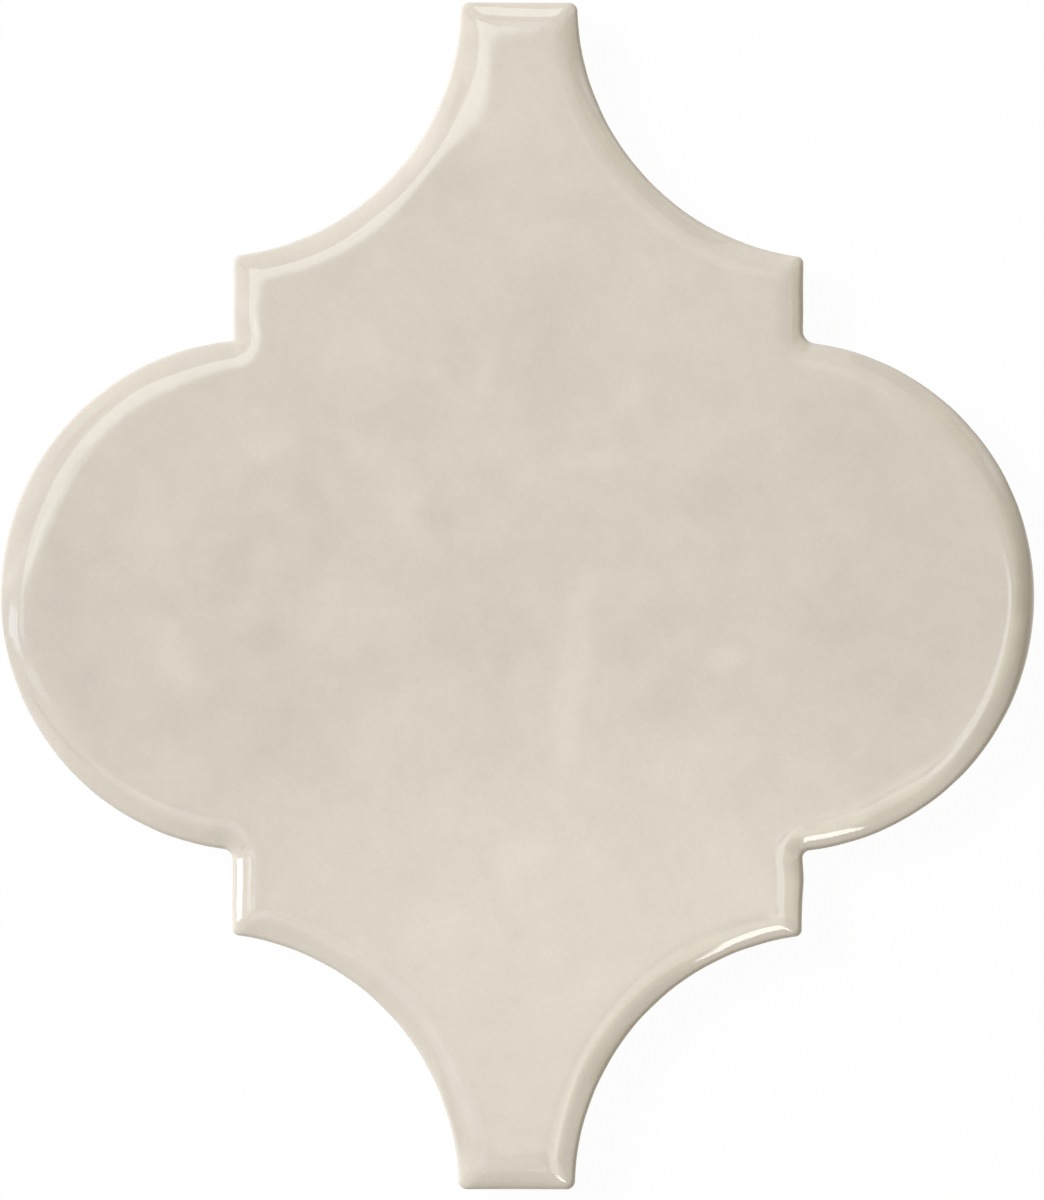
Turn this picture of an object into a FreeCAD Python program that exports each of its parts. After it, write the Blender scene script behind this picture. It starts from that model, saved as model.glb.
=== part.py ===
"""Glazed arabesque wall tile, pressed and fired as one piece, lying on its back with the glazed face up.

One radius draws the outline. The two side lobes are convex arcs of it, and the two necks are hollowed by concave
arcs of it, so that the lobe of a neighbour nests between the necks of two tiles laid tip to tip. A short straight
step joins each lobe to each neck.

Units are millimetres. The origin is the middle of the back, in the plane that beds on the wall. +X runs from lobe
to lobe, +Y from neck to neck and +Z out of the glazed face.
"""

import FreeCAD, Part
import math
import os

# Outline
tile_width = 150.0  # across the two lobes
arc_radius = 37.1  # of the lobes and of the hollows beside the necks
neck_width = 16.9  # across the flat tip of a neck, to its corners before they are rounded
step_length = 12.3  # of the straight step between a lobe and a neck, corner to corner
nesting_gap = 0.8  # between the facing steps of two nested tiles
tip_corner_radius = 1.0  # rounding at the ends of a tip
step_corner_radius = 0.8  # rounding where a step meets a neck
inner_corner_radius = 1.2  # hollow rounding where a step meets a lobe

# Section
tile_thickness = 9.0
cushion_width = 4.5  # how far the rounded edge reaches in over the face
cushion_drop = 2.0  # how far the rounded edge falls below the face
back_taper = 0.6  # how far the side wall draws in on its way down to the back

# Keying grooves in the back
groove_width = 5.0
rib_width = 4.0  # left standing between two grooves
groove_depth = 0.7
back_border = 6.0  # left plain between the grooves and the outline

# How finely the rounded edge is drawn
cushion_sections = 7

# Places that follow from the outline
lobe_x = tile_width / 2 - arc_radius
neck_x = neck_width / 2 + arc_radius
step_x = (lobe_x + neck_x - nesting_gap) / 2
lobe_rise = math.sqrt(arc_radius**2 - (step_x - lobe_x) ** 2)
neck_fall = math.sqrt(arc_radius**2 - (neck_x - step_x) ** 2)
tip_y = lobe_rise + step_length + neck_fall
wall_top = tile_thickness - cushion_drop


def towards(start, end, distance):
    """The point at that distance from start, on the way to end."""
    return start + (end - start).normalize() * distance


def short_arc(centre, start, end):
    """Start, middle and end of the shorter arc round centre."""
    middle = towards(centre, (start + end) * 0.5, (start - centre).Length)
    return [start, middle, end]


def mirrored(run, x_sign, y_sign):
    """A run of edges mirrored in one axis, and reversed so that it still goes clockwise."""
    return [
        [FreeCAD.Vector(x_sign * p.x, y_sign * p.y, p.z) for p in reversed(points)]
        for points in reversed(run)
    ]


def quarter_run(inset, height):
    """Edges of the upper right quarter, clockwise from the tip to the lobe, each given by its points.

    Moving in by inset widens the hollow and narrows the lobe round the same centres. The outer corners keep
    their radius, and the inner corner opens up round its own centre.
    """
    neck_centre = FreeCAD.Vector(neck_x, tip_y, height)
    lobe_centre = FreeCAD.Vector(lobe_x, 0, height)
    neck_radius = arc_radius + inset
    lobe_radius = arc_radius - inset
    inner_radius = inner_corner_radius + inset
    tip_line = tip_y - inset
    step_line = step_x - inset

    drop = inset + tip_corner_radius
    reach = math.sqrt((neck_radius + tip_corner_radius) ** 2 - drop**2)
    tip_centre = neck_centre - FreeCAD.Vector(reach, drop, 0)

    across = neck_x - step_line + step_corner_radius
    reach = math.sqrt((neck_radius + step_corner_radius) ** 2 - across**2)
    step_centre = neck_centre - FreeCAD.Vector(across, reach, 0)

    across = step_line + inner_radius - lobe_x
    reach = math.sqrt((lobe_radius + inner_radius) ** 2 - across**2)
    inner_centre = lobe_centre + FreeCAD.Vector(across, reach, 0)

    tip_end = FreeCAD.Vector(tip_centre.x, tip_line, height)
    neck_top = towards(neck_centre, tip_centre, neck_radius)
    neck_foot = towards(neck_centre, step_centre, neck_radius)
    step_top = FreeCAD.Vector(step_line, step_centre.y, height)
    step_foot = FreeCAD.Vector(step_line, inner_centre.y, height)
    lobe_start = towards(lobe_centre, inner_centre, lobe_radius)
    return [
        short_arc(tip_centre, tip_end, neck_top),
        short_arc(neck_centre, neck_top, neck_foot),
        short_arc(step_centre, neck_foot, step_top),
        [step_top, step_foot],
        short_arc(inner_centre, step_foot, lobe_start),
    ]


def outline(inset, height):
    """The closed outline at a height, moved in from the widest outline by inset."""
    quarter = quarter_run(inset, height)
    lobe_start = quarter[-1][-1]
    lobe_end = FreeCAD.Vector(lobe_start.x, -lobe_start.y, height)
    lobe_point = FreeCAD.Vector(lobe_x + arc_radius - inset, 0, height)
    right = quarter + [[lobe_start, lobe_point, lobe_end]] + mirrored(quarter, 1, -1)
    left = mirrored(right, -1, 1)
    bottom_tip = [right[-1][-1], left[0][0]]
    top_tip = [left[-1][-1], right[0][0]]
    edges = [
        Part.makeLine(*points) if len(points) == 2 else Part.Arc(*points).toShape()
        for points in right + [bottom_tip] + left + [top_tip]
    ]
    return Part.Wire(edges)


def tapered_body():
    """From the back up to the foot of the rounded edge, with the side wall drawn in towards the back."""
    return Part.makeLoft([outline(back_taper, 0), outline(0, wall_top)], True, True)


def cushion():
    """The face with its rounded edge, a quarter ellipse carried round the outline."""
    sections = []
    for number in range(cushion_sections):
        turn = math.pi / 2 * number / (cushion_sections - 1)
        inset = cushion_width * (1 - math.cos(turn))
        sections.append(outline(inset, wall_top + cushion_drop * math.sin(turn)))
    return Part.makeLoft(sections, True, False)


def groove_limit(x):
    """How far up from the tile's middle line a groove may reach, at a distance x to the side.

    It is the outline moved in by the border: under the tip, beside the hollow of the neck, or inside the lobe.
    """
    tip_limit = tip_y - back_border
    hollow_radius = arc_radius + back_border
    lobe_radius = arc_radius - back_border
    if x <= neck_x - hollow_radius:
        return tip_limit
    if x <= step_x - back_border:
        return min(tip_limit, tip_y - math.sqrt(hollow_radius**2 - (neck_x - x) ** 2))
    return math.sqrt(lobe_radius**2 - max(x - lobe_x, 0) ** 2)


def groove(x):
    """A round-ended groove along Y, as long as there is room for at its outer side."""
    half_width = groove_width / 2
    end_y = groove_limit(abs(x) + half_width)
    turn_y = end_y - half_width
    left, right = x - half_width, x + half_width
    corners = [
        FreeCAD.Vector(left, -turn_y, 0),
        FreeCAD.Vector(left, turn_y, 0),
        FreeCAD.Vector(right, turn_y, 0),
        FreeCAD.Vector(right, -turn_y, 0),
    ]
    top = Part.Arc(corners[1], FreeCAD.Vector(x, end_y, 0), corners[2]).toShape()
    bottom = Part.Arc(corners[3], FreeCAD.Vector(x, -end_y, 0), corners[0]).toShape()
    sides = [Part.makeLine(corners[0], corners[1]), Part.makeLine(corners[2], corners[3])]
    slot = Part.Face(Part.Wire([sides[0], top, sides[1], bottom]))
    return slot.extrude(FreeCAD.Vector(0, 0, groove_depth))


def keying_grooves():
    """The row of grooves, one in the middle and as many to each side as the lobes have room for.

    The outermost groove is at least twice as long as it is wide.
    """
    pitch = groove_width + rib_width
    outermost_side = lobe_x + math.sqrt((arc_radius - back_border) ** 2 - groove_width**2)
    each_side = math.floor((outermost_side - groove_width / 2) / pitch)
    return [groove(number * pitch) for number in range(-each_side, each_side + 1)]


def arabesque_tile():
    """The whole tile as one solid."""
    body = tapered_body().fuse(cushion()).removeSplitter()
    return body.cut(keying_grooves()).Solids[0]


tile = arabesque_tile()
os.makedirs("parts", exist_ok=True)
tile.exportStep("parts/arabesque_tile.step")
box = tile.optimalBoundingBox()
print(f"tile {box.XLength:.2f} x {box.YLength:.2f} x {box.ZLength:.2f} mm, {tile.Volume / 1000:.2f} cm3")
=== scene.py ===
"""Looks of the glazed arabesque tile: its shape with the softness of the glaze, its finish and the studio.

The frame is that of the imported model: +X from lobe to lobe, +Y from neck to neck, +Z out of the glazed face,
and the back of the tile at Z = 0. Points of the outline are complex numbers, X + iY.
"""

import math

import bpy
import numpy as np
from mathutils import Matrix, Quaternion, Vector
from mathutils.geometry import tessellate_polygon


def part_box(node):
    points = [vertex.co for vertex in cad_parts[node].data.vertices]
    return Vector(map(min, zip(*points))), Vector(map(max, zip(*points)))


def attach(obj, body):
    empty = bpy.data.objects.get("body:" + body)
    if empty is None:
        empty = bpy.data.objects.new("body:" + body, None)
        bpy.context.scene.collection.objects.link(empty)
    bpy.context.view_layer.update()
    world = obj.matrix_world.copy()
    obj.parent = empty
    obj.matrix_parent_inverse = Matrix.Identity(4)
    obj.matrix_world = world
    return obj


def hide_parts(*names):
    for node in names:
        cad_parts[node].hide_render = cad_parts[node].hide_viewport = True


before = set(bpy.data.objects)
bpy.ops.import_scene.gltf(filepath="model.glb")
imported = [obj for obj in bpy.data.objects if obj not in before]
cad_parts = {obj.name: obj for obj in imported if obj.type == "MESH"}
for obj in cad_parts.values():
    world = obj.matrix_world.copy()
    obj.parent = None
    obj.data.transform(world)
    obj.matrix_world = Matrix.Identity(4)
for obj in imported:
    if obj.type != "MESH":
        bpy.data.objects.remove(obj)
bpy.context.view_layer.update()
tile_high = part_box("arabesque_tile")[1]

MM = 0.001

# Outline, as the solid has it
HALF_WIDTH = tile_high.x
TIP_Y = tile_high.y
FACE_Z = tile_high.z
ARC_RADIUS = 37.1 * MM
HALF_NECK = 8.45 * MM
NESTING_GAP = 0.8 * MM
BACK_TAPER = 0.6 * MM
LOBE_X = HALF_WIDTH - ARC_RADIUS
NECK_X = HALF_NECK + ARC_RADIUS
STEP_X = (LOBE_X + NECK_X - NESTING_GAP) / 2
LOBE_CENTRE = complex(LOBE_X, 0.0)
NECK_CENTRE = complex(NECK_X, TIP_Y)

# Corners: the radius at the outline, and how much an outer corner's radius grows for each length of inset
TIP_CORNER = 1.25 * MM
TIP_CORNER_GROWTH = 0.15
STEP_CORNER = 1.0 * MM
STEP_CORNER_GROWTH = 0.25
INNER_CORNER_UPPER_RIGHT = 1.9 * MM
INNER_CORNER_LOWER_RIGHT = 1.2 * MM
INNER_CORNER_LOWER_LEFT = 1.5 * MM
INNER_CORNER_UPPER_LEFT = 0.6 * MM

# Section of the rim: a shoulder that falls by a power of the distance from its inner end, then the arris
SHOULDER_WIDTH = 5.8 * MM
SHOULDER_DROP = 0.93 * MM
SHOULDER_POWER = 2.5
UPPER_ARRIS_RADIUS = 0.40 * MM
LOWER_ARRIS_RADIUS = 0.65 * MM
ARRIS_CHANGE_LENGTH = 15.0 * MM  # over which the arris goes from the lower radius to the upper one
BACK_EDGE_RADIUS = 0.4 * MM

# Unevenness of the glaze: its size, the waves round the tile, and the seed of their phases
SHOULDER_WIDTH_WAVES = (0.025, (5, 9, 14, 23), 11)
SHOULDER_DROP_WAVES = (0.05, (7, 12, 19, 31), 12)
EDGE_WAVES = (0.02 * MM, (21, 34, 55, 89), 13)
GLAZE_LINE_WAVES = (0.6 * MM, (6, 11, 17, 29), 31)
GLAZE_LINE_RIPPLE = (0.25 * MM, (47, 71, 97), 32)
GLAZE_LINE_HEIGHT = 2.4 * MM  # above the back
EDGE_CALM_LENGTH = 4.0 * MM  # from the greatest width or length, within which the edge waves fade out

# Bead of glaze on the edge of the lower right step
BEAD_HEIGHT = 0.25 * MM
BEAD_REACH = 2.4 * MM
BEAD_PLACE = complex(STEP_X, -41.0 * MM)

# Slow waves of the face: depth, wavelength and seed
FACE_WAVE_DEPTH = 0.05 * MM
FACE_WAVE_LENGTH = 46.0 * MM
FACE_WAVE_SEED = 21
WAVE_DIRECTIONS = 7
SHORTEST_WAVE = 0.7  # shares of the wavelength between which each wave is drawn
LONGEST_WAVE = 1.5

# Where the glaze gave the rim another section: place and reach in millimetres, then the change in the
# shoulder's width and drop as shares, and the change in the arris's radius in millimetres
RIM_FEATURES = (
    (75.0 + 0.0j, 15.0, -0.24, 1.00, 0.60),
    (-74.7 - 6.0j, 8.0, 0.00, -0.42, -0.36),
    (-73.0 + 12.0j, 8.0, 0.08, 0.00, 0.00),
    (-66.0 + 24.0j, 18.0, 0.11, 0.00, 0.00),
    (-9.2 + 76.5j, 7.0, 0.42, 0.10, 0.00),
    (-16.0 + 64.0j, 9.0, -0.18, 0.25, 0.00),
    (-41.3 + 43.0j, 8.0, -0.15, -0.26, 0.10),
    (72.5 - 13.0j, 9.0, -0.05, 0.00, 0.00),
    (41.3 + 43.0j, 8.0, -0.15, -0.10, 0.35),
    (-41.3 - 43.0j, 9.0, -0.09, 0.06, -0.05),
    (41.3 - 43.0j, 8.0, -0.03, -0.20, 0.15),
    (8.4 + 74.0j, 11.0, 0.00, 0.25, 0.12),
    (-8.4 - 74.0j, 11.0, 0.00, -0.30, -0.30),
    (0.0 - 86.0j, 6.0, 0.00, 0.30, 0.20),
    (64.0 + 26.0j, 12.0, 0.00, 0.20, 0.00),
    (64.0 - 26.0j, 12.0, -0.03, -0.20, 0.00),
    (48.0 - 36.0j, 8.0, 0.00, 0.12, 0.00),
    (56.5 - 31.8j, 6.0, 0.20, 0.02, 0.00),
    (27.0 + 58.0j, 10.0, 0.00, 0.35, 0.00),
    (-27.0 - 57.0j, 10.0, 0.00, -0.30, 0.00),
)

# Clouds in the glaze, partly its own tone and partly painted reflection and shade, such as the bright streak
# below the middle of the face: middle, half length and half width in millimetres, tilt in degrees, and change
# in brightness
TONE_AND_PAINTED_LIGHT_PATCHES = (
    (-56.0 + 0.0j, 30.0, 32.0, 0.0, -0.032),
    (56.0 + 0.0j, 30.0, 32.0, 0.0, -0.034),
    (-67.0 - 4.0j, 8.0, 16.0, 0.0, -0.016),
    (-2.0 + 72.0j, 10.0, 16.0, 0.0, 0.026),
    (-8.0 + 60.5j, 6.0, 2.6, -10.0, -0.036),
    (6.0 + 62.0j, 4.0, 2.0, 20.0, -0.024),
    (9.0 + 56.0j, 7.0, 2.4, -8.0, -0.036),
    (5.5 + 36.0j, 11.5, 7.8, 85.0, -0.036),
    (-8.5 + 35.0j, 3.2, 2.2, 80.0, -0.032),
    (-15.0 + 27.0j, 5.5, 4.0, -10.0, -0.044),
    (-28.0 + 29.0j, 6.0, 3.0, -25.0, -0.022),
    (-38.0 + 16.0j, 4.0, 2.6, 40.0, -0.032),
    (-30.5 + 15.0j, 4.5, 2.8, -55.0, -0.044),
    (-28.0 + 8.5j, 4.5, 2.6, 80.0, -0.040),
    (-31.0 + 2.5j, 4.0, 2.4, 20.0, -0.032),
    (-41.5 + 4.0j, 4.5, 3.2, 70.0, -0.042),
    (-37.5 + 9.5j, 3.5, 2.2, 80.0, -0.030),
    (-12.0 + 12.0j, 3.0, 2.6, 0.0, -0.056),
    (-4.0 + 16.0j, 4.5, 3.6, 60.0, -0.028),
    (4.0 + 11.0j, 8.0, 6.0, 60.0, -0.024),
    (-5.0 - 3.0j, 10.0, 7.0, 90.0, -0.024),
    (28.0 + 14.0j, 3.8, 3.6, 0.0, -0.038),
    (30.0 + 6.0j, 3.2, 2.8, 0.0, -0.042),
    (24.5 + 6.5j, 2.4, 2.2, 0.0, -0.036),
    (15.5 - 7.5j, 4.5, 3.6, 20.0, -0.050),
    (20.5 - 3.0j, 4.0, 2.6, 0.0, -0.036),
    (20.0 - 15.5j, 5.0, 3.8, 0.0, -0.050),
    (47.5 + 24.5j, 8.7, 6.0, -30.0, -0.030),
    (46.0 - 2.0j, 7.0, 5.5, 60.0, -0.030),
    (55.0 - 12.0j, 9.0, 6.0, 20.0, -0.020),
    (58.0 - 22.0j, 12.0, 9.0, 40.0, -0.020),
    (36.0 + 40.0j, 9.0, 9.0, 0.0, -0.012),
    (-37.0 - 6.5j, 3.4, 2.6, 0.0, -0.044),
    (-35.0 - 16.0j, 7.0, 4.5, 60.0, -0.032),
    (-30.0 - 24.0j, 6.0, 4.5, -30.0, -0.030),
    (-47.0 - 17.0j, 8.0, 4.5, 10.0, -0.028),
    (-62.0 - 14.0j, 7.0, 5.0, -30.0, -0.030),
    (-68.0 - 5.0j, 5.0, 4.5, 60.0, -0.030),
    (-66.0 + 3.0j, 4.0, 3.0, 0.0, -0.026),
    (-23.0 - 13.0j, 7.0, 5.0, 0.0, -0.016),
    (-5.0 + 66.0j, 3.5, 2.2, 60.0, 0.028),
    (2.5 + 68.0j, 4.0, 2.5, 0.0, 0.020),
    (5.0 + 52.0j, 9.0, 2.6, 8.0, 0.018),
    (-24.0 + 38.5j, 6.0, 4.0, -35.0, 0.034),
    (-20.0 + 34.0j, 3.0, 2.0, -50.0, 0.024),
    (-36.5 + 21.5j, 3.6, 1.8, -20.0, 0.030),
    (-22.0 + 21.0j, 5.0, 2.2, -35.0, 0.034),
    (-16.5 + 13.0j, 7.0, 2.8, -62.0, 0.036),
    (-24.0 - 4.0j, 6.0, 6.0, 0.0, 0.022),
    (-51.0 - 8.0j, 5.2, 3.3, -50.0, 0.060),
    (-52.5 + 10.0j, 6.5, 6.5, 0.0, 0.028),
    # Painted reflection: a bright streak where the face's slow waves would mirror a lamp
    (8.2 - 11.0j, 14.2, 2.1, 82.0, 0.055),
    (9.5 + 0.5j, 3.2, 2.4, 60.0, 0.030),
    (6.8 - 20.0j, 3.5, 2.0, 80.0, 0.020),
    (30.0 - 9.0j, 2.6, 2.4, 0.0, 0.050),
    (11.5 + 19.6j, 4.6, 1.4, 8.0, 0.048),
    (27.0 + 23.5j, 10.0, 3.2, 22.0, 0.020),
    (16.5 + 28.5j, 5.0, 2.4, -70.0, 0.024),
    (-4.5 + 33.0j, 5.5, 1.4, 80.0, 0.028),
    (57.0 - 7.0j, 3.5, 2.5, 0.0, 0.018),
    (48.0 + 10.0j, 3.0, 2.4, 0.0, 0.022),
    (58.0 + 17.0j, 5.0, 4.0, 0.0, 0.018),
    (36.0 + 0.0j, 6.0, 8.0, 0.0, 0.020),
    (0.0 - 38.0j, 4.2, 2.8, 20.0, 0.040),
    (-12.0 - 48.0j, 5.5, 4.5, 15.0, 0.042),
    (11.5 - 56.0j, 5.5, 3.0, 15.0, 0.035),
    (31.0 - 42.0j, 6.0, 8.0, 0.0, 0.026),
    (23.0 - 25.0j, 5.0, 3.6, 0.0, 0.030),
    (-10.0 - 31.0j, 7.0, 4.0, 10.0, 0.018),
)

# How far the patches' outlines wander, as shares of their width, and the wavelengths and seeds of that drift
BROAD_DRIFT = (0.22, 13.0 * MM, 41, 42)
FINE_DRIFT = (0.10, 5.0 * MM, 43, 44)

# Points along each run of a quarter of the outline: tip, its corner, hollow, step's corner, step, inner
# corner and lobe
RUN_POINTS = (8, 20, 86, 16, 20, 16, 106)
QUARTER_POINTS = sum(RUN_POINTS)

# Rings of the surface
BACK_EDGE_RINGS = 4
WALL_RINGS = 6
ARRIS_RINGS = 9
SHOULDER_RINGS = 18
FIELD_RINGS = 50

# Keying grooves in the back, as the solid has them, and a small lip round their mouths
GROOVE_WIDTH = 5.0 * MM
RIB_WIDTH = 4.0 * MM
GROOVE_DEPTH = 0.7 * MM
BACK_BORDER = 6.0 * MM
GROOVES_EACH_SIDE = 7
GROOVE_LIP = 0.15 * MM
GROOVE_END_POINTS = 14


def fractions(count):
    """Evenly spaced shares of a run, from half a space past its start to half a space before its end."""
    return (np.arange(count) + 0.5) / count


def arc(centre, radius, start, end, count):
    """Centre plus a radius that turns evenly from the start angle to the end angle."""
    return centre + radius * np.exp(1j * (start + (end - start) * fractions(count)))


def tip_corner(inset):
    """Centre and radius of the corner that touches both tip and hollow, for an outline moved in by inset."""
    radius = TIP_CORNER + TIP_CORNER_GROWTH * inset
    drop = inset + radius
    reach = np.sqrt((ARC_RADIUS + inset + radius) ** 2 - drop**2)
    return NECK_CENTRE - reach - 1j * drop, radius


def step_corner(inset):
    """Centre and radius of the corner that touches both hollow and step, for an outline moved in by inset."""
    radius = STEP_CORNER + STEP_CORNER_GROWTH * inset
    across = NECK_X - STEP_X + inset + radius
    reach = np.sqrt((ARC_RADIUS + inset + radius) ** 2 - across**2)
    return NECK_CENTRE - across - 1j * reach, radius


def quarter_outline(inset, inner_radius):
    """Upper right quarter of the outline, moved in by inset, from the tip's middle to the lobe's middle.

    Inset has a row for each ring and a column for each point. Seven runs follow each other: half the tip, its
    corner, the hollow arc, the step's corner, the step, the inner corner and half the lobe. Moving in widens
    the hollow arc and the inner corner and narrows the lobe, all three round centres that stay in place.
    """
    runs = np.split(inset, np.cumsum(RUN_POINTS)[:-1], axis=1)
    across = STEP_X + inner_radius - LOBE_X
    inner_centre = LOBE_CENTRE + complex(across, math.sqrt((ARC_RADIUS + inner_radius) ** 2 - across**2))

    tip = tip_corner(runs[0])[0].real * fractions(RUN_POINTS[0]) + 1j * (TIP_Y - runs[0])
    centre, radius = tip_corner(runs[1])
    tip_end = arc(centre, radius, math.pi / 2, np.angle(NECK_CENTRE - centre), RUN_POINTS[1])
    hollow_start = np.angle(tip_corner(runs[2])[0] - NECK_CENTRE)
    hollow_end = np.angle(step_corner(runs[2])[0] - NECK_CENTRE)
    hollow = arc(NECK_CENTRE, ARC_RADIUS + runs[2], hollow_start, hollow_end, RUN_POINTS[2])
    centre, radius = step_corner(runs[3])
    step_end = arc(centre, radius, np.angle(NECK_CENTRE - centre), 0.0, RUN_POINTS[3])
    step_top = step_corner(runs[4])[0].imag
    step_y = step_top + (inner_centre.imag - step_top) * fractions(RUN_POINTS[4])
    step = STEP_X - runs[4] + 1j * step_y
    inner_end = np.angle(LOBE_CENTRE - inner_centre)
    inner = arc(inner_centre, inner_radius + runs[5], -math.pi, inner_end, RUN_POINTS[5])
    lobe_start = np.angle(inner_centre - LOBE_CENTRE)
    lobe = arc(LOBE_CENTRE, ARC_RADIUS - runs[6], lobe_start, 0.0, RUN_POINTS[6])
    return np.concatenate([tip, tip_end, hollow, step_end, step, inner, lobe], axis=1)


def outline(inset):
    """Closed outline moved in by inset, clockwise from the middle of the upper tip, as complex numbers.

    The four quarters are the upper right one mirrored: the conjugate mirrors it downwards and minus the
    conjugate to the left. The second and fourth quarters run from lobe to tip, so they are reversed.
    """
    upper_right, lower_right, lower_left, upper_left = np.split(inset, 4, axis=1)
    return np.concatenate(
        [
            quarter_outline(upper_right, INNER_CORNER_UPPER_RIGHT),
            np.conj(quarter_outline(lower_right[:, ::-1], INNER_CORNER_LOWER_RIGHT))[:, ::-1],
            -quarter_outline(lower_left, INNER_CORNER_LOWER_LEFT),
            -np.conj(quarter_outline(upper_left[:, ::-1], INNER_CORNER_UPPER_LEFT))[:, ::-1],
        ],
        axis=1,
    )


def near(points, place, reach):
    """One at a place and fading to nothing round it, as e to the minus square of distance over reach."""
    return np.exp(-((np.abs(points - place) / reach) ** 2))


def wobble(turn, size, waves, seed):
    """Smooth uneven line round the tile: a size times a sum of sines with whole numbers of waves."""
    phases = np.random.default_rng(seed).uniform(0.0, 2 * math.pi, len(waves))
    total = sum(np.sin(2 * math.pi * count * turn + phase) for count, phase in zip(waves, phases))
    return size * total / math.sqrt(len(waves))


def undulation(points, wavelength, seed):
    """Smooth uneven height over the face, about -1 to 1: a sum of plane waves in several directions."""
    draw = np.random.default_rng(seed)
    directions = np.exp(1j * draw.uniform(0.0, math.pi, WAVE_DIRECTIONS))
    lengths = wavelength * draw.uniform(SHORTEST_WAVE, LONGEST_WAVE, WAVE_DIRECTIONS)
    phases = draw.uniform(0.0, 2 * math.pi, WAVE_DIRECTIONS)
    total = sum(
        np.sin(2 * math.pi * (points * np.conj(direction)).real / length + phase)
        for direction, length, phase in zip(directions, lengths, phases)
    )
    return total / math.sqrt(WAVE_DIRECTIONS)


def mesh_object(name, points, faces, smooth):
    """Object at the origin with these points and faces, and a flag on each face for smooth shading."""
    mesh = bpy.data.meshes.new(name)
    mesh.from_pydata(points, [], faces)
    mesh.polygons.foreach_set("use_smooth", smooth)
    mesh.update()
    made = bpy.data.objects.new(name, mesh)
    bpy.context.scene.collection.objects.link(made)
    return made


def strip_faces(first, rings, columns):
    """Quads between rings that follow each other, closed round, facing away from a clockwise loop."""
    ring, column = np.meshgrid(np.arange(rings - 1), np.arange(columns), indexing="ij")
    here = first + ring * columns + column
    beside = first + ring * columns + (column + 1) % columns
    return np.stack([here, here + columns, beside + columns, beside], axis=-1).reshape(-1, 4)


def facing_down(points, triangles):
    """The triangles, each turned where needed so that it faces -Z."""
    corner = points[triangles][:, :, :2]
    first = corner[:, 1] - corner[:, 0]
    second = corner[:, 2] - corner[:, 0]
    upward = first[:, 0] * second[:, 1] - first[:, 1] * second[:, 0] > 0
    turned = triangles.copy()
    turned[upward] = triangles[upward][:, ::-1]
    return turned


def flat_faces(points, loops):
    """Triangles that face -Z and fill the first loop of point numbers, less the loops inside it."""
    corners = [[Vector(point) for point in points[numbers]] for numbers in loops]
    return facing_down(points, np.concatenate(loops)[np.array(tessellate_polygon(corners))])


def groove_loops():
    """Loops of each keying groove, as complex numbers and heights: its mouth, its lip's end and its floor.

    A loop is two half circles joined by straight sides. The groove ends where its outer side comes within the
    border of the outline: of the tip, of the hollow beside the neck, or of the lobe.
    """
    half_turn = np.linspace(0.0, math.pi, GROOVE_END_POINTS)
    half_width = GROOVE_WIDTH / 2
    tip_limit = TIP_Y - BACK_BORDER
    hollow_radius = ARC_RADIUS + BACK_BORDER
    lobe_radius = ARC_RADIUS - BACK_BORDER
    grooves = []
    for number in range(-GROOVES_EACH_SIDE, GROOVES_EACH_SIDE + 1):
        x = number * (GROOVE_WIDTH + RIB_WIDTH)
        side = abs(x) + half_width
        if side <= NECK_X - hollow_radius:
            end_y = tip_limit
        elif side <= STEP_X - BACK_BORDER:
            end_y = min(tip_limit, TIP_Y - math.sqrt(hollow_radius**2 - (NECK_X - side) ** 2))
        else:
            end_y = math.sqrt(lobe_radius**2 - max(side - LOBE_X, 0.0) ** 2)
        turn_y = end_y - half_width
        loops = []
        for radius, height in (
            (half_width + GROOVE_LIP, 0.0),
            (half_width, GROOVE_LIP),
            (half_width - GROOVE_LIP, GROOVE_DEPTH),
        ):
            upper = x + 1j * turn_y + radius * np.exp(1j * half_turn)
            lower = x - 1j * turn_y - radius * np.exp(1j * half_turn)
            loops.append((np.concatenate([upper, lower]), height))
        grooves.append(loops)
    return grooves


def solid_points(points, heights):
    """X, Y, Z rows from complex points and their heights."""
    heights = np.broadcast_to(heights, points.shape)
    return np.stack([points.real, points.imag, heights], axis=-1).reshape(-1, 3)


def rim_shape(base, turn):
    """Width and drop of the shoulder, and radius of the arris, at each point of the outline.

    The arris is crisper on the upper half of the tile. Width and drop are slightly uneven all the way round,
    and all three change near each of the rim's features by its share, which fades with distance.
    """
    width = 1.0 + wobble(turn, *SHOULDER_WIDTH_WAVES)
    drop = 1.0 + wobble(turn, *SHOULDER_DROP_WAVES)
    upper = 0.5 + 0.5 * np.tanh(base.imag / ARRIS_CHANGE_LENGTH)
    arris = LOWER_ARRIS_RADIUS + (UPPER_ARRIS_RADIUS - LOWER_ARRIS_RADIUS) * upper
    for place, reach, wider, deeper, rounder in RIM_FEATURES:
        share = near(base, place * MM, reach * MM)
        width = width + wider * share
        drop = drop + deeper * share
        arris = arris + rounder * MM * share
    return SHOULDER_WIDTH * width, SHOULDER_DROP * drop, arris


def edge_swell(base, turn):
    """How far the glaze stands out from the outline: a bead on the lower right step, and a slight unevenness.

    The unevenness fades to nothing towards the tile's greatest width and length.
    """
    bead = BEAD_HEIGHT * near(base, BEAD_PLACE, BEAD_REACH)
    room = np.minimum(HALF_WIDTH - np.abs(base.real), TIP_Y - np.abs(base.imag))
    calm = np.clip(room / EDGE_CALM_LENGTH, 0.0, 1.0)
    return bead + wobble(turn, *EDGE_WAVES) * calm


def drift(points, share, wavelength, seed_x, seed_y):
    """Uneven sideways shift over the face: two undulations, one along X and one along Y, times a share."""
    return share * (undulation(points, wavelength, seed_x) + 1j * undulation(points, wavelength, seed_y))


# Patches partly of the glaze's own tone and partly of painted reflection and shade on face and rim
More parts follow.
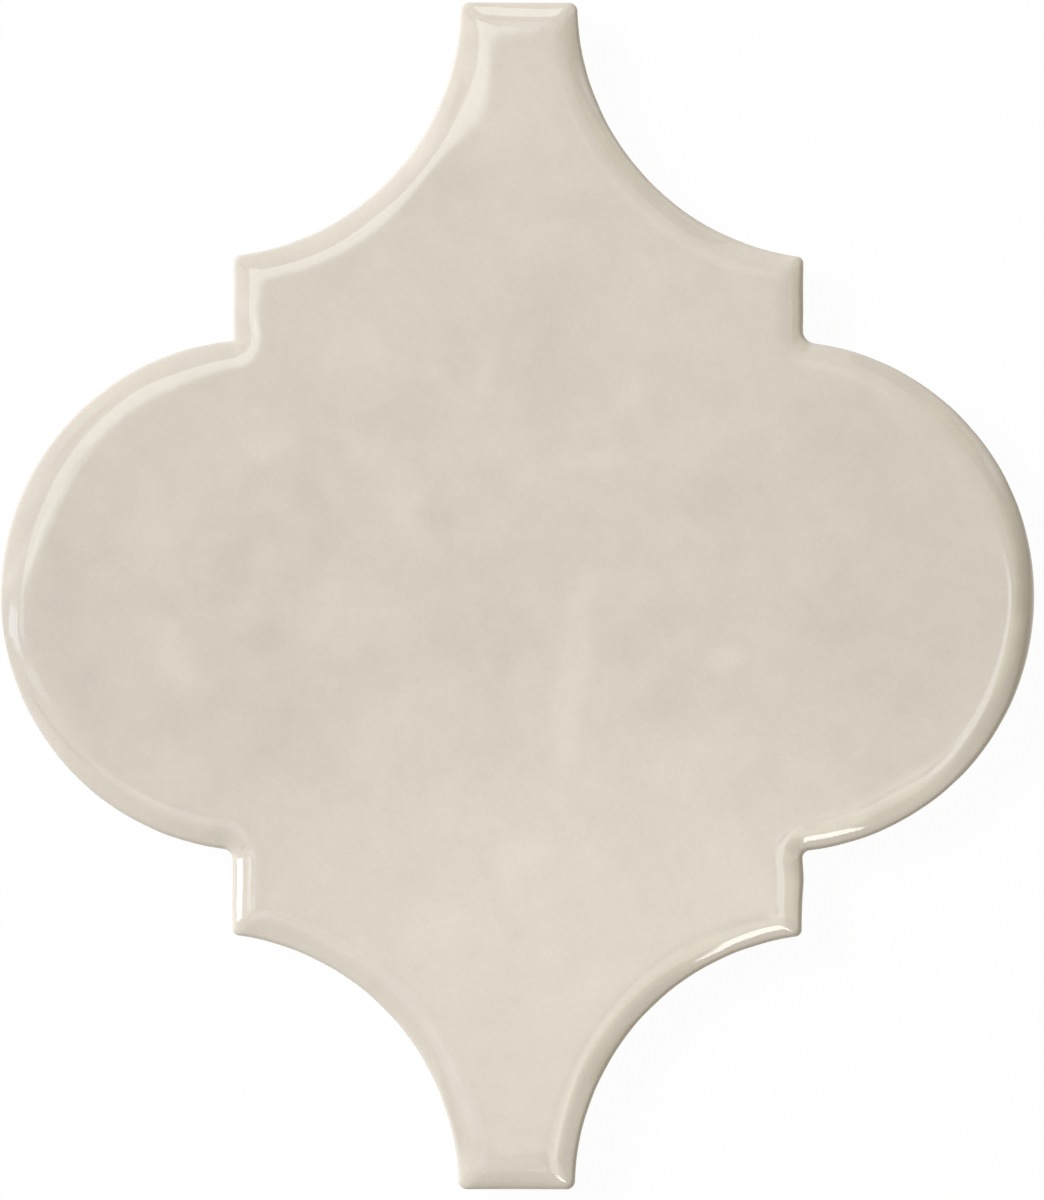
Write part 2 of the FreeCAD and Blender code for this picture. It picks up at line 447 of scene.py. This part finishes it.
def tone_and_painted_light(points):
    """Change in brightness: a sum of soft patches, e to the minus fourth power of distance over size.

    The points are first moved about by a share of each patch's width, so that none keeps a plain outline.
    """
    wander = drift(points, *BROAD_DRIFT) + drift(points, *FINE_DRIFT)
    total = np.zeros(points.shape)
    for middle, half_length, half_width, tilt, strength in TONE_AND_PAINTED_LIGHT_PATCHES:
        own = (points / MM + half_width * wander - middle) * np.exp(-1j * math.radians(tilt))
        square = (own.real / half_length) ** 2 + (own.imag / half_width) ** 2
        total += strength * np.exp(-(square**2))
    return total


def glazed_tile():
    """The tile as one closed surface.

    A section is carried round the outline: the rounded back edge, the tapered wall, the arris as a quarter
    circle and the shoulder as a power curve, whose height is the face less drop times (1 - inset / width) to
    the power. The innermost outline then shrinks evenly to a point in the middle of the face, which slow
    waves lower a little. The back is filled flat between the outline and the mouths of the grooves.
    """
    columns = 4 * QUARTER_POINTS
    base = outline(np.zeros((1, columns)))[0]
    steps_along = np.abs(np.roll(base, -1) - base)
    turn = np.cumsum(steps_along) / steps_along.sum()
    width, drop, arris = rim_shape(base, turn)
    swell = edge_swell(base, turn)
    wall_top = FACE_Z - drop - arris

    back_turn = np.linspace(0.0, math.pi / 2, BACK_EDGE_RINGS)[:, None]
    wall_share = np.linspace(0.0, 1.0, WALL_RINGS + 1)[1:-1, None]
    arris_turn = np.linspace(0.0, math.pi / 2, ARRIS_RINGS)[:, None]
    shoulder_share = np.linspace(0.0, 1.0, SHOULDER_RINGS + 1)[1:, None]
    full = np.ones(columns)

    back_inset = (BACK_TAPER + BACK_EDGE_RADIUS * (1.0 - np.sin(back_turn))) * full
    back_height = BACK_EDGE_RADIUS * (1.0 - np.cos(back_turn)) * full
    wall_inset = BACK_TAPER * (1.0 - wall_share) * full
    wall_height = BACK_EDGE_RADIUS + (wall_top - BACK_EDGE_RADIUS) * wall_share
    arris_inset = arris * (1.0 - np.cos(arris_turn))
    shoulder_inset = arris + (width - arris) * shoulder_share
    top_inset = np.concatenate([arris_inset, shoulder_inset])
    roll_over = np.concatenate([arris * (1.0 - np.sin(arris_turn)), 0.0 * shoulder_inset])
    outer_share = np.maximum(1.0 - top_inset / width, 0.0)
    top_height = FACE_Z - drop * outer_share**SHOULDER_POWER - roll_over

    swollen_wall = wall_inset - swell * wall_share
    swollen_top = top_inset - swell * outer_share
    rim = outline(np.concatenate([back_inset, swollen_wall, swollen_top]))
    field_share = np.linspace(1.0, 0.0, FIELD_RINGS + 1)[1:-1, None]
    field = rim[-1] * field_share
    points = np.concatenate([rim, field])
    heights = np.concatenate([back_height, wall_height, top_height, FACE_Z + 0.0 * field_share * full])
    upper = len(back_height) + len(wall_height)
    waves = 0.5 + 0.25 * undulation(points[upper:], FACE_WAVE_LENGTH, FACE_WAVE_SEED)
    ease = np.clip(np.concatenate([top_inset / width, 1.0 + 0.0 * field_share * full]), 0.0, 1.0)
    heights[upper:] -= FACE_WAVE_DEPTH * waves * ease
    rings = len(points)

    grooves = groove_loops()
    all_loops = [loop for loops in grooves for loop in loops]
    groove_points = np.concatenate([solid_points(loop, height) for loop, height in all_loops])
    middle = np.array([[0.0, 0.0, heights[-1].mean()]])
    vertices = np.concatenate([solid_points(points, heights), middle, groove_points])

    pole = rings * columns
    last = (rings - 1) * columns + np.arange(columns)
    cap = np.stack([last, np.full(columns, pole), np.roll(last, -1)], axis=-1)
    loop_points = 2 * GROOVE_END_POINTS
    firsts = pole + 1 + 3 * loop_points * np.arange(len(grooves))
    walls = np.concatenate([strip_faces(first, 3, loop_points) for first in firsts])

    edge_indices = [np.arange(columns)] + [first + np.arange(loop_points) for first in firsts]
    back = flat_faces(vertices, edge_indices)
    floor_indices = [first + 2 * loop_points + np.arange(loop_points) for first in firsts]
    floors = np.concatenate([flat_faces(vertices, [ids]) for ids in floor_indices])

    skin = strip_faces(0, rings, columns)
    parts = [(skin, True), (cap, True), (walls, True), (back, False), (floors, False)]
    faces = [face for part, _ in parts for face in part.tolist()]
    smooth = np.concatenate([np.full(len(part), flag) for part, flag in parts])
    made = mesh_object("glazed_tile", vertices, faces, smooth)

    glaze_line = GLAZE_LINE_HEIGHT + wobble(turn, *GLAZE_LINE_WAVES) + wobble(turn, *GLAZE_LINE_RIPPLE)
    bare = np.full(len(groove_points), -MM)
    store(made, "above_glaze_line", np.concatenate([(heights - glaze_line).ravel(), [FACE_Z], bare]))
    # Brightness patches for the finish: the glaze's own tone together with painted reflection and shade
    store(made, "tone_and_painted_light", tone_and_painted_light(vertices[:, 0] + 1j * vertices[:, 1]))
    return made


def store(piece, name, values):
    """Keep one number for each point of a piece, for its material to read."""
    attribute = piece.data.attributes.new(name, "FLOAT", "POINT")
    attribute.data.foreach_set("value", np.asarray(values, dtype=np.float32))


class Wire:
    """An output socket of a node tree. Arithmetic with it adds Math nodes."""

    def __init__(self, tree, socket):
        self.tree = tree
        self.socket = socket

    def math(self, operation, first, second):
        sockets = {0: first, 1: second}
        return add_node(self.tree, "ShaderNodeMath", {"operation": operation}, sockets)

    def __add__(self, other):
        return self.math("ADD", self, other)

    def __radd__(self, other):
        return self.math("ADD", other, self)

    def __sub__(self, other):
        return self.math("SUBTRACT", self, other)

    def __rsub__(self, other):
        return self.math("SUBTRACT", other, self)

    def __mul__(self, other):
        return self.math("MULTIPLY", self, other)

    def __rmul__(self, other):
        return self.math("MULTIPLY", other, self)


def add_node(tree, kind, settings, sockets, output=0):
    """Add a node of that type, with its settings and its sockets' values or wires, and give an output."""
    node = tree.nodes.new(kind)
    for name, value in settings.items():
        setattr(node, name, value)
    for name, value in sockets.items():
        socket = node.inputs[name]
        if isinstance(value, Wire):
            tree.links.new(value.socket, socket)
        else:
            socket.default_value = value
    return Wire(tree, node.outputs[output])


def new_material(name):
    """An empty material and its node tree."""
    material = bpy.data.materials.new(name)
    material.use_nodes = True
    material.node_tree.nodes.clear()
    return material, material.node_tree


def noise(tree, place, scale, detail, roughness, distortion):
    """Cloudy noise from 0 to 1, with so many features to the metre."""
    sockets = {
        "Vector": place,
        "Scale": scale,
        "Detail": detail,
        "Roughness": roughness,
        "Distortion": distortion,
    }
    return add_node(tree, "ShaderNodeTexNoise", {}, sockets, "Fac")


def smooth_step(tree, value, low, high):
    """Zero below low, one above high, and an S curve between."""
    sockets = {"Value": value, "From Min": low, "From Max": high}
    return add_node(tree, "ShaderNodeMapRange", {"interpolation_type": "SMOOTHSTEP"}, sockets)


def scaled_colour(tree, colour, scale):
    """A colour times a number."""
    sockets = {0: colour, "Scale": scale}
    return add_node(tree, "ShaderNodeVectorMath", {"operation": "SCALE"}, sockets, "Vector")


def mixed_colour(tree, share, first, second):
    """The first colour where share is 0 and the second where it is 1."""
    settings = {"data_type": "RGBA"}
    sockets = {"Factor": share, 6: first, 7: second}
    return add_node(tree, "ShaderNodeMix", settings, sockets, 2)


# Finish
GLAZE_COLOUR = (0.690, 0.638, 0.562)
GLAZE_ROUGHNESS = 0.05
GLAZE_ROUGHNESS_CHANGE = 0.03
CLAY_COLOUR = (0.66, 0.56, 0.43)
CLAY_ROUGHNESS = 0.85
BUMP_HEIGHT = 0.1 * MM
GLAZE_BUMP = 0.02  # shares of the bump's height
CLAY_BUMP = 0.8
RAGGED_HEIGHT = 0.5 * MM  # of the fine teeth along the glaze line
GLAZE_LINE_BLUR = 0.06 * MM

# Noises in the finish: features to the metre, detail, roughness and distortion
RAGGED_NOISE = (1400.0, 3.0, 0.6, 0.0)
BROAD_NOISE = (75.0, 5.0, 0.65, 0.4)
FINE_NOISE = (260.0, 4.0, 0.6, 0.2)
SPECKLE_NOISE = (2400.0, 2.0, 0.5, 0.0)
STAIN_NOISE = (90.0, 3.0, 0.55, 0.6)
STAIN_EDGES = (0.40, 0.60)
GRAIN_NOISE = (900.0, 4.0, 0.65, 0.0)

# How much each noise changes the brightness of the glaze, and then of the clay
STAIN_SHARE = 0.016
BROAD_SHARE = 0.08
FINE_SHARE = 0.10
SPECKLE_SHARE = 0.10
CLAY_GRAIN_SHARE = 0.16
CLAY_BROAD_SHARE = 0.2


def tile_finish():
    """Gloss glaze over the face and down the side to an uneven line, and bare pressed clay below it."""
    material, tree = new_material("glaze_on_clay")
    place = add_node(tree, "ShaderNodeTexCoord", {}, {}, "Object")
    above_line = add_node(tree, "ShaderNodeAttribute", {"attribute_name": "above_glaze_line"}, {}, "Fac")

    ragged = noise(tree, place, *RAGGED_NOISE) - 0.5
    cover = smooth_step(tree, above_line + ragged * RAGGED_HEIGHT, -GLAZE_LINE_BLUR, GLAZE_LINE_BLUR)

    # Patches of the glaze's own tone, with painted reflection and shade among them, such as the bright streak
    tone_and_light = add_node(tree, "ShaderNodeAttribute", {"attribute_name": "tone_and_painted_light"}, {}, "Fac")
    broad = noise(tree, place, *BROAD_NOISE) - 0.5
    fine = noise(tree, place, *FINE_NOISE) - 0.5
    speckle = noise(tree, place, *SPECKLE_NOISE) - 0.5
    stains = smooth_step(tree, noise(tree, place, *STAIN_NOISE), *STAIN_EDGES) - 0.5
    # Glaze brightness: painted reflection and shade from the patches, plus random tone, stains and speckle
    mottle_and_painted_light = tone_and_light + stains * STAIN_SHARE + broad * BROAD_SHARE + fine * FINE_SHARE + speckle * SPECKLE_SHARE
    glaze = scaled_colour(tree, GLAZE_COLOUR, 1.0 + mottle_and_painted_light)
    grain = noise(tree, place, *GRAIN_NOISE) - 0.5
    clay = scaled_colour(tree, CLAY_COLOUR, 1.0 + grain * CLAY_GRAIN_SHARE + broad * CLAY_BROAD_SHARE)
    colour = mixed_colour(tree, cover, clay, glaze)
    glaze_roughness = GLAZE_ROUGHNESS + fine * GLAZE_ROUGHNESS_CHANGE
    roughness = cover * glaze_roughness + (1.0 - cover) * CLAY_ROUGHNESS

    height = cover * (fine * GLAZE_BUMP) + (1.0 - cover) * grain * CLAY_BUMP
    bump_sockets = {"Strength": 1.0, "Distance": BUMP_HEIGHT, "Height": height}
    normal = add_node(tree, "ShaderNodeBump", {}, bump_sockets)
    shader_sockets = {"Base Color": colour, "Roughness": roughness, "Normal": normal}
    shader = add_node(tree, "ShaderNodeBsdfPrincipled", {}, shader_sockets)
    add_output(tree, shader)
    return material


def add_output(tree, shader, kind="ShaderNodeOutputMaterial"):
    """Join a shader to a new output of a material, or of another kind."""
    node = tree.nodes.new(kind)
    tree.links.new(shader.socket, node.inputs["Surface"])


# Studio
FLOOR_SIZE = 12.0
FLOOR_GAP = 0.1 * MM
FLOOR_COLOUR = (0.95, 0.95, 0.95, 1.0)
FLOOR_GLOW_SHARE = 0.97  # the rest is the floor's own light and shade
BLACK = (0.0, 0.0, 0.0, 1.0)
AMBIENT_COLOUR = (0.30, 0.272, 0.185, 1.0)
KEY_COLOUR = (0.90, 0.919, 1.0)
WHITE = (1.0, 1.0, 1.0, 1.0)
KEY_AZIMUTH = 153.0  # degrees
KEY_FROM_ZENITH = 48.0
KEY_DISTANCE = 8.0
KEY_SIZE = 2.88
KEY_RADIANCE = 27.8
CARD_HEIGHT = 0.9
CARD_SPACING = 2.0 * MM
COOL = (0.92, 0.99, 1.0)
NEUTRAL = (1.0, 1.0, 1.0)
WARM = (1.0, 0.947, 0.865)
OLIVE = (1.0, 0.97, 0.48)
ICE = (0.90, 1.02, 1.25)

# Cards over the tile, each where the rim mirrors it as the photograph shows: name, middle, size and width of
# the fading edge, along the card and across it, in metres, then radiance, turn in degrees and colour
CARDS = (
    ("soft_patch", 0.055, -0.101, 0.350, 0.190, 0.130, 0.080, 1.60, 0.0, WARM),
    ("strip_right", 0.234, -0.065, 0.170, 0.230, 0.050, 0.050, 3.5, 10.0, NEUTRAL),
    ("strip_right_low", 0.222, -0.168, 0.130, 0.100, 0.040, 0.040, 2.2, 0.0, NEUTRAL),
    ("spot_right", 0.155, -0.092, 0.085, 0.060, 0.030, 0.020, 0.8, 0.0, NEUTRAL),
    ("spot_lower_right", 0.105, -0.178, 0.075, 0.090, 0.030, 0.040, 0.9, 0.0, NEUTRAL),
    ("streak_lower_right", 0.145, -0.160, 0.200, 0.056, 0.060, 0.022, 0.9, -65.0, NEUTRAL),
    ("strip_lower_right", 0.165, -0.290, 0.200, 0.300, 0.060, 0.060, 2.0, -8.0, NEUTRAL),
    ("veil_right", 0.395, -0.088, 0.340, 0.170, 0.120, 0.060, 1.8, 0.0, OLIVE),
    ("veil_far_right", 0.800, -0.120, 0.620, 0.240, 0.080, 0.050, 0.75, 0.0, OLIVE),
    ("veil_lower_right", 0.215, -0.360, 0.340, 0.440, 0.090, 0.050, 0.9, 0.0, OLIVE),
    ("veil_low_right_far", 0.590, -0.413, 0.360, 0.240, 0.040, 0.060, 0.45, -35.0, OLIVE),
    ("veil_upper_right", 0.620, 0.120, 0.460, 0.280, 0.080, 0.080, 0.85, 0.0, OLIVE),
    ("veil_slant_right", 0.490, 0.410, 0.320, 0.240, 0.080, 0.080, 0.95, 40.0, OLIVE),
    ("veil_neck_far", 0.810, 0.430, 0.260, 0.220, 0.060, 0.060, 1.3, 0.0, ICE),
    ("veil_top_right", 0.680, 0.600, 0.300, 0.220, 0.080, 0.080, 0.7, 0.0, OLIVE),
    ("veil_top_far", 0.760, 0.760, 1.000, 0.340, 0.120, 0.100, 0.8, -45.0, COOL),
    ("veil_neck_right", 0.128, 0.250, 0.170, 0.240, 0.050, 0.060, 0.6, 0.0, NEUTRAL),
    ("veil_left", -0.480, 0.073, 0.400, 0.070, 0.060, 0.025, 1.0, 0.0, NEUTRAL),
    ("strip_left", -0.425, -0.024, 0.164, 0.086, 0.012, 0.008, 3.6, -8.0, ICE),
    ("strip_left_step", -0.402, -0.084, 0.150, 0.042, 0.050, 0.010, 2.5, 0.0, NEUTRAL),
    ("strip_left_near", -0.295, -0.012, 0.075, 0.064, 0.018, 0.015, 2.0, 0.0, COOL),
    ("strip_left_low", -0.335, -0.122, 0.220, 0.064, 0.050, 0.025, 1.6, 24.0, NEUTRAL),
    ("strip_lower_left", -0.175, -0.229, 0.260, 0.130, 0.040, 0.035, 0.8, 0.0, NEUTRAL),
    ("strip_neck_left", -0.125, -0.168, 0.180, 0.060, 0.040, 0.020, 1.0, 20.0, NEUTRAL),
    ("veil_lower_left", -0.165, -0.270, 0.320, 0.260, 0.100, 0.080, 0.35, 0.0, NEUTRAL),
    ("veil_tip_low", 0.000, -0.355, 0.120, 0.390, 0.030, 0.090, 0.8, 0.0, NEUTRAL),
    ("spot_tip_low", -0.008, -0.465, 0.012, 0.036, 0.004, 0.010, 4.5, 0.0, NEUTRAL),
    ("strip_tip_low", 0.038, -0.350, 0.080, 0.014, 0.015, 0.004, 4.0, 71.0, NEUTRAL),
    ("veil_bottom", 0.010, -1.050, 0.220, 0.460, 0.050, 0.060, 0.35, 0.0, OLIVE),
    ("soft_box_foot", -0.190, 0.044, 0.150, 0.055, 0.030, 0.015, 2.0, 0.0, COOL),
    ("soft_box_head", -0.035, 0.190, 0.100, 0.140, 0.030, 0.040, 0.9, 0.0, COOL),
    ("card_top", 0.005, 0.760, 0.200, 0.340, 0.020, 0.030, 3.2, 0.0, NEUTRAL),
    ("card_top_near", 0.000, 0.410, 0.080, 0.140, 0.020, 0.030, 1.2, 0.0, NEUTRAL),
    ("strip_neck_right", 0.065, 0.330, 0.090, 0.180, 0.030, 0.040, 0.8, 0.0, NEUTRAL),
)

# The cards that aren't plain rectangles: middle and size, radiance, colour, and the strips that show where
# they cross, each by direction in degrees, distance of its middle line from the origin, half its width and
# the width of its fading edge
CUT_CARDS = {
    "soft_box": (
        (-0.175, 0.190, 0.350, 0.400),
        3.1,
        COOL,
        (
            (135.0, 0.420, 0.300, 0.080),
            (135.0, 0.100, 0.290, 0.040),
            (155.0, 0.150, 0.200, 0.045),
            (180.0, 0.115, 0.210, 0.030),
            (97.0, 0.1885, 0.1415, 0.012),
        ),
    ),
    "window_left": (
        (-0.742, -0.083, 0.324, 0.066),
        10.0,
        NEUTRAL,
        ((0.0, -0.742, 0.162, 0.006), (89.06, -0.1336, 0.0664, 0.006), (90.94, -0.0244, 0.0744, 0.006)),
    ),
    "card_lower_right": (
        (0.200, -0.482, 0.160, 0.140),
        10.0,
        NEUTRAL,
        ((0.0, 0.200, 0.080, 0.010), (90.0, -0.482, 0.070, 0.010), (42.0, -0.278, 0.150, 0.020)),
    ),
}

# Black flags, which keep the white of the studio and the window off parts of the rim: height and corners
FLAGS = {
    "flag_right": (1.0, ((0.62, -0.06), (2.6, -0.15), (2.6, 2.6), (0.9, 2.6), (0.27, 0.55))),
    "flag_upper_left": (1.0, ((-0.50, 0.26), (-0.35, 0.245), (-0.32, 0.34), (-0.45, 0.40))),
    "flag_lower_left": (1.0, ((-0.60, -0.27), (-0.38, -0.255), (-0.36, -0.30), (-0.58, -0.345))),
    "flag_lower_right": (1.0, ((0.55, -0.344), (1.50, -0.94), (1.32, -1.23), (0.512, -0.477))),
    "flag_bottom": (1.0, ((-0.10, -0.90), (0.12, -0.90), (0.20, -1.45), (-0.18, -1.45))),
    "flag_lobe_left": (0.15, ((-0.250, -0.036), (-0.158, -0.030), (-0.158, -0.008), (-0.250, -0.010))),
}


def seen_as_background(tree):
    """One for the rays that show the background: of the camera, of reflections and of clear materials."""
    path = tree.nodes.new("ShaderNodeLightPath")
    camera = Wire(tree, path.outputs["Is Camera Ray"])
    glossy = Wire(tree, path.outputs["Is Glossy Ray"])
    clear = Wire(tree, path.outputs["Is Transmission Ray"])
    return camera.math("MAXIMUM", camera, glossy.math("MAXIMUM", glossy, clear))


def studio_floor():
    """White floor. It glows where it shows as background, and keeps some of its own shade for the shadow."""
    half = FLOOR_SIZE / 2
    corners = [(-half, -half), (half, -half), (half, half), (-half, half)]
    floor = mesh_object("floor", [(x, y, -FLOOR_GAP) for x, y in corners], [(0, 1, 2, 3)], [False])
    material, tree = new_material("white_floor")
    lit = add_node(tree, "ShaderNodeBsdfDiffuse", {}, {"Color": FLOOR_COLOUR})
    glow = add_node(tree, "ShaderNodeEmission", {}, {"Color": WHITE, "Strength": 1.0})
    share = seen_as_background(tree) * FLOOR_GLOW_SHARE
    add_output(tree, add_node(tree, "ShaderNodeMixShader", {}, {0: share, 1: lit, 2: glow}))
    floor.data.materials.append(material)


def studio_air():
    """World: white where it shows as background, and a dim warm fill light for everything else."""
    world = bpy.data.worlds.new("studio")
    world.use_nodes = True
    tree = world.node_tree
    tree.nodes.clear()
    colour = mixed_colour(tree, seen_as_background(tree), AMBIENT_COLOUR, WHITE)
    shader = add_node(tree, "ShaderNodeBackground", {}, {"Color": colour})
    add_output(tree, shader, "ShaderNodeOutputWorld")
    bpy.context.scene.world = world


def area_lamp(name, place, turn, size_x, size_y, radiance, colour):
    """Rectangular lamp at a place and turn, whose power is pi times its area times its radiance."""
    data = bpy.data.lights.new(name, "AREA")
    data.shape = "RECTANGLE"
    data.size = size_x
    data.size_y = size_y
    data.color = colour
    data.energy = math.pi * size_x * size_y * radiance
    lamp = bpy.data.objects.new(name, data)
    lamp.matrix_world = Matrix.Translation(place) @ turn.to_matrix().to_4x4()
    lamp.visible_camera = False
    bpy.context.scene.collection.objects.link(lamp)
    return lamp


def key_lamp():
    """Broad lamp from the upper left that gives the tile its light and shade, and no reflection."""
    azimuth = math.radians(KEY_AZIMUTH)
    from_zenith = math.radians(KEY_FROM_ZENITH)
    flat = KEY_DISTANCE * math.sin(from_zenith)
    height = KEY_DISTANCE * math.cos(from_zenith)
    place = Vector((flat * math.cos(azimuth), flat * math.sin(azimuth), height))
    turn = (-place).to_track_quat("-Z", "Y")
    lamp = area_lamp("key", place, turn, KEY_SIZE, KEY_SIZE, KEY_RADIANCE, KEY_COLOUR)
    lamp.visible_glossy = False


def strip_share(tree, place, degrees, middle, half, fade):
    """One within a strip across that direction, and an S curve down to nothing at both its edges."""
    angle = math.radians(degrees)
    sockets = {0: place, 1: (math.cos(angle), math.sin(angle), 0.0)}
    along = add_node(tree, "ShaderNodeVectorMath", {"operation": "DOT_PRODUCT"}, sockets, "Value")
    aside = along - middle
    distance = aside.math("ABSOLUTE", aside, 0.0)
    return 1.0 - smooth_step(tree, distance, half - fade, half)


def reflection_card(name, place, size, degrees, radiance, colour, strips):
    """Level card overhead that shows only in reflections, and only where its strips cross."""
    turn = Quaternion((0.0, 0.0, 1.0), math.radians(degrees))
    lamp = area_lamp(name, place, turn, *size, radiance, colour)
    lamp.visible_diffuse = False
    lamp.data.use_nodes = True
    tree = lamp.data.node_tree
    tree.nodes.clear()
    point = add_node(tree, "ShaderNodeNewGeometry", {}, {}, "Position")
    share = math.prod(strip_share(tree, point, *strip) for strip in strips)
    shader = add_node(tree, "ShaderNodeEmission", {}, {"Strength": share})
    add_output(tree, shader, "ShaderNodeOutputLight")


def reflection_cards():
    """The cards over the tile, each at a height of its own so that they add up where they overlap."""
    height = CARD_HEIGHT
    for name, ((x, y, *size), radiance, colour, strips) in CUT_CARDS.items():
        reflection_card(name, (x, y, height), size, 0.0, radiance, colour, strips)
        height += CARD_SPACING
    for name, x, y, size_x, size_y, fade_x, fade_y, radiance, degrees, colour in CARDS:
        own = complex(x, y) * np.exp(-1j * math.radians(degrees))
        strips = (
            (degrees, own.real, size_x / 2, fade_x),
            (degrees + 90.0, own.imag, size_y / 2, fade_y),
        )
        reflection_card(name, (x, y, height), (size_x, size_y), degrees, radiance, colour, strips)
        height += CARD_SPACING


def black_flags():
    """Level black sheets over the tile that show only in reflections."""
    material, tree = new_material("black_cloth")
    add_output(tree, add_node(tree, "ShaderNodeBsdfDiffuse", {}, {"Color": BLACK}))
    for name, (height, places) in FLAGS.items():
        corners = [(x, y, height) for x, y in places]
        flag = mesh_object(name, corners, [tuple(range(len(corners)))], [False])
        flag.data.materials.append(material)
        flag.visible_camera = False
        flag.visible_diffuse = False
        flag.visible_transmission = False
        flag.visible_shadow = False


def camera_above():
    """Camera looking straight down, with the tile as wide, placed and slightly turned as in the photograph.

    The image is 1044 by 1200 pixels. The tile's width and middle in it set the size of a pixel and the aim.
    """
    image_width = 1044
    image_height = 1200
    tile_width_pixels = 1033.8
    tile_middle = (517.9, 596.0)
    turn = math.radians(0.12)
    rim_height = 7.5 * MM
    distance = 1.3
    pixel = 2 * HALF_WIDTH / tile_width_pixels
    data = bpy.data.cameras.new("camera")
    data.sensor_width = 36.0
    data.lens = data.sensor_width * distance / (image_height * pixel)
    camera = bpy.data.objects.new("camera", data)
    aim_x = (image_width / 2 - tile_middle[0]) * pixel
    aim_y = (tile_middle[1] - image_height / 2) * pixel
    camera.location = (aim_x, aim_y, rim_height + distance)
    camera.rotation_euler.z = turn
    bpy.context.scene.collection.objects.link(camera)
    bpy.context.scene.camera = camera


tile = glazed_tile()
tile.data.materials.append(tile_finish())
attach(tile, "root")
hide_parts("arabesque_tile")

studio_floor()
studio_air()
key_lamp()
reflection_cards()
black_flags()
camera_above()
bpy.context.scene.view_settings.view_transform = "Standard"
